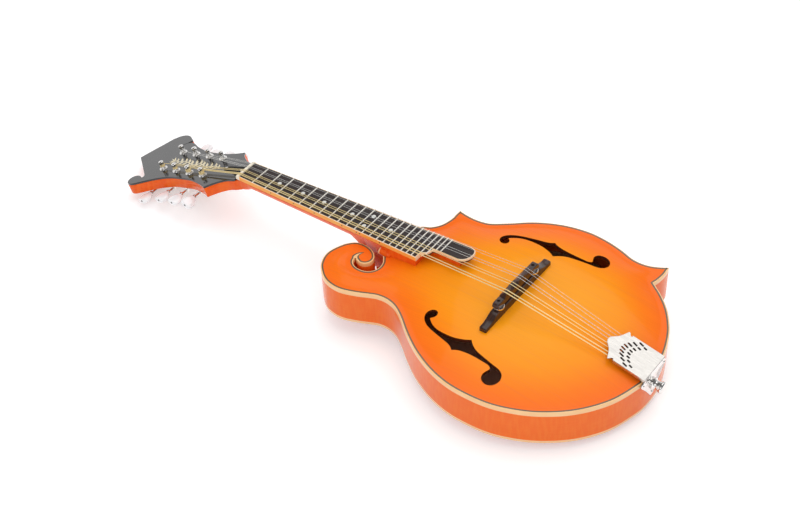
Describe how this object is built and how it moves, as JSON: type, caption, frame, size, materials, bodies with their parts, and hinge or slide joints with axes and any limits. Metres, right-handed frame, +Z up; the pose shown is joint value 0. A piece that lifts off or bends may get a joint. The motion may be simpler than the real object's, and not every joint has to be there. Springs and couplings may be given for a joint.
{
  "type": "f-style mandolin",
  "caption": "Carved-top mandolin with scroll and body points, floating adjustable bridge, paired strings, geared tuners and a slide-on tailpiece cover.",
  "frame": {"origin": "centre of the footprint of the whole instrument, on the surface it rests on", "axes": "+X from the headstock to the end pin, +Z up from the surface, -Y the bass side with the scroll"},
  "size_m": [0.7038, 0.2576, 0.0935],
  "materials": {
    "spruce": "gloss lacquer, amber centre to orange-red edge",
    "maple": "gloss lacquer over flamed figure",
    "raw_wood": "bare",
    "binding": "cream, polished",
    "ebony": "oiled or gloss black",
    "rosewood": "satin",
    "bone": "polished bone",
    "pearl": "pearly, slightly translucent",
    "nickel": "nickel plate",
    "steel": "plain steel",
    "bronze": "bronze-wound steel"
  },
  "bodies": {
    "instrument": {"top_plate": "spruce", "back_plate": "maple", "ribs": "maple", "top_binding": "binding", "back_binding": "binding", "top_lining": "raw_wood", "back_lining": "raw_wood", "neck_block": "raw_wood", "tail_block": "raw_wood", "tone_bar_bass": "raw_wood", "tone_bar_treble": "raw_wood", "neck": "maple", "headstock_overlay": "ebony", "truss_rod": "steel", "truss_rod_cover": "ebony", "nut": "bone", "fingerboard": "ebony", "bridge_base": "rosewood", "bridge_stud_bass": "nickel", "bridge_stud_treble": "nickel", "tailpiece_base": "nickel", "end_pin": "nickel", "tuner_plate_bass": "nickel", "tuner_plate_treble": "nickel", "string_1": "bronze", "string_2": "bronze", "string_3": "bronze", "string_4": "bronze", "string_5": "steel", "string_6": "steel", "string_7": "steel", "string_8": "steel"},
    "saddle": {"bridge_saddle": "rosewood"},
    "wheel_bass": {"thumbwheel_bass": "nickel"},
    "wheel_treble": {"thumbwheel_treble": "nickel"},
    "cover": {"tailpiece_cover": "nickel"},
    "key_1": {"worm_shaft_1": "steel", "tuner_button_1": "pearl"},
    "post_1": {"tuner_post_1": "nickel"},
    "key_2": {"worm_shaft_2": "steel", "tuner_button_2": "pearl"},
    "post_2": {"tuner_post_2": "nickel"},
    "key_3": {"worm_shaft_3": "steel", "tuner_button_3": "pearl"},
    "post_3": {"tuner_post_3": "nickel"},
    "key_4": {"worm_shaft_4": "steel", "tuner_button_4": "pearl"},
    "post_4": {"tuner_post_4": "nickel"},
    "key_5": {"worm_shaft_5": "steel", "tuner_button_5": "pearl"},
    "post_5": {"tuner_post_5": "nickel"},
    "key_6": {"worm_shaft_6": "steel", "tuner_button_6": "pearl"},
    "post_6": {"tuner_post_6": "nickel"},
    "key_7": {"worm_shaft_7": "steel", "tuner_button_7": "pearl"},
    "post_7": {"tuner_post_7": "nickel"},
    "key_8": {"worm_shaft_8": "steel", "tuner_button_8": "pearl"},
    "post_8": {"tuner_post_8": "nickel"}
  },
  "joints": [
    {"name": "saddle_lift", "type": "slide", "parent": "instrument", "child": "saddle", "axis": [0.0402, 0, 0.9992], "range_m": [0, 0.0021], "deforming": ["string_1", "string_2", "string_3", "string_4", "string_5", "string_6", "string_7", "string_8"]},
    {"name": "wheel_bass_turn", "type": "hinge", "parent": "saddle", "child": "wheel_bass", "pos_m": [0.18069, -0.03216, 0.08071], "axis": [0.0402, 0, 0.9992], "range_deg": [0, 1090]},
    {"name": "wheel_treble_turn", "type": "hinge", "parent": "saddle", "child": "wheel_treble", "pos_m": [0.18069, 0.02784, 0.08071], "axis": [0.0402, 0, 0.9992], "range_deg": [0, 1090]},
    {"name": "cover_slide", "type": "slide", "parent": "instrument", "child": "cover", "axis": [-0.9748, 0, 0.2233], "range_m": [0, 0.02]},
    {"name": "key_1_turn", "type": "hinge", "parent": "instrument", "child": "key_1", "pos_m": [-0.2321, -0.03216, 0.03093], "axis": [0, -1, 0], "continuous": true},
    {"name": "post_1_turn", "type": "hinge", "parent": "instrument", "child": "post_1", "pos_m": [-0.23181, -0.01936, 0.05038], "axis": [-0.2944, 0, 0.9557], "continuous": true},
    {"name": "key_2_turn", "type": "hinge", "parent": "instrument", "child": "key_2", "pos_m": [-0.25403, -0.03216, 0.02418], "axis": [0, -1, 0], "continuous": true},
    {"name": "post_2_turn", "type": "hinge", "parent": "instrument", "child": "post_2", "pos_m": [-0.25375, -0.01926, 0.04362], "axis": [-0.2944, 0, 0.9557], "continuous": true},
    {"name": "key_3_turn", "type": "hinge", "parent": "instrument", "child": "key_3", "pos_m": [-0.27597, -0.03216, 0.01742], "axis": [0, -1, 0], "continuous": true},
    {"name": "post_3_turn", "type": "hinge", "parent": "instrument", "child": "post_3", "pos_m": [-0.27568, -0.01916, 0.03687], "axis": [-0.2944, 0, 0.9557], "continuous": true},
    {"name": "key_4_turn", "type": "hinge", "parent": "instrument", "child": "key_4", "pos_m": [-0.2979, -0.03216, 0.01066], "axis": [0, -1, 0], "continuous": true},
    {"name": "post_4_turn", "type": "hinge", "parent": "instrument", "child": "post_4", "pos_m": [-0.29761, -0.01906, 0.03011], "axis": [-0.2944, 0, 0.9557], "continuous": true},
    {"name": "key_5_turn", "type": "hinge", "parent": "instrument", "child": "key_5", "pos_m": [-0.2321, 0.02784, 0.03093], "axis": [0, 1, 0], "continuous": true},
    {"name": "post_5_turn", "type": "hinge", "parent": "instrument", "child": "post_5", "pos_m": [-0.23181, 0.01504, 0.05038], "axis": [-0.2944, 0, 0.9557], "continuous": true},
    {"name": "key_6_turn", "type": "hinge", "parent": "instrument", "child": "key_6", "pos_m": [-0.25403, 0.02784, 0.02418], "axis": [0, 1, 0], "continuous": true},
    {"name": "post_6_turn", "type": "hinge", "parent": "instrument", "child": "post_6", "pos_m": [-0.25375, 0.01494, 0.04362], "axis": [-0.2944, 0, 0.9557], "continuous": true},
    {"name": "key_7_turn", "type": "hinge", "parent": "instrument", "child": "key_7", "pos_m": [-0.27597, 0.02784, 0.01742], "axis": [0, 1, 0], "continuous": true},
    {"name": "post_7_turn", "type": "hinge", "parent": "instrument", "child": "post_7", "pos_m": [-0.27568, 0.01484, 0.03687], "axis": [-0.2944, 0, 0.9557], "continuous": true},
    {"name": "key_8_turn", "type": "hinge", "parent": "instrument", "child": "key_8", "pos_m": [-0.2979, 0.02784, 0.01066], "axis": [0, 1, 0], "continuous": true},
    {"name": "post_8_turn", "type": "hinge", "parent": "instrument", "child": "post_8", "pos_m": [-0.29761, 0.01474, 0.03011], "axis": [-0.2944, 0, 0.9557], "continuous": true}
  ],
  "couplings": [
    {"joint": "wheel_bass_turn", "follows": "saddle_lift", "rad_per_m": 8976},
    {"joint": "wheel_treble_turn", "follows": "saddle_lift", "rad_per_m": 8976},
    {"joint": "post_1_turn", "follows": "key_1_turn", "ratio": 0.066667},
    {"joint": "post_2_turn", "follows": "key_2_turn", "ratio": 0.066667},
    {"joint": "post_3_turn", "follows": "key_3_turn", "ratio": 0.066667},
    {"joint": "post_4_turn", "follows": "key_4_turn", "ratio": 0.066667},
    {"joint": "post_5_turn", "follows": "key_5_turn", "ratio": -0.066667},
    {"joint": "post_6_turn", "follows": "key_6_turn", "ratio": -0.066667},
    {"joint": "post_7_turn", "follows": "key_7_turn", "ratio": -0.066667},
    {"joint": "post_8_turn", "follows": "key_8_turn", "ratio": -0.066667}
  ]
}
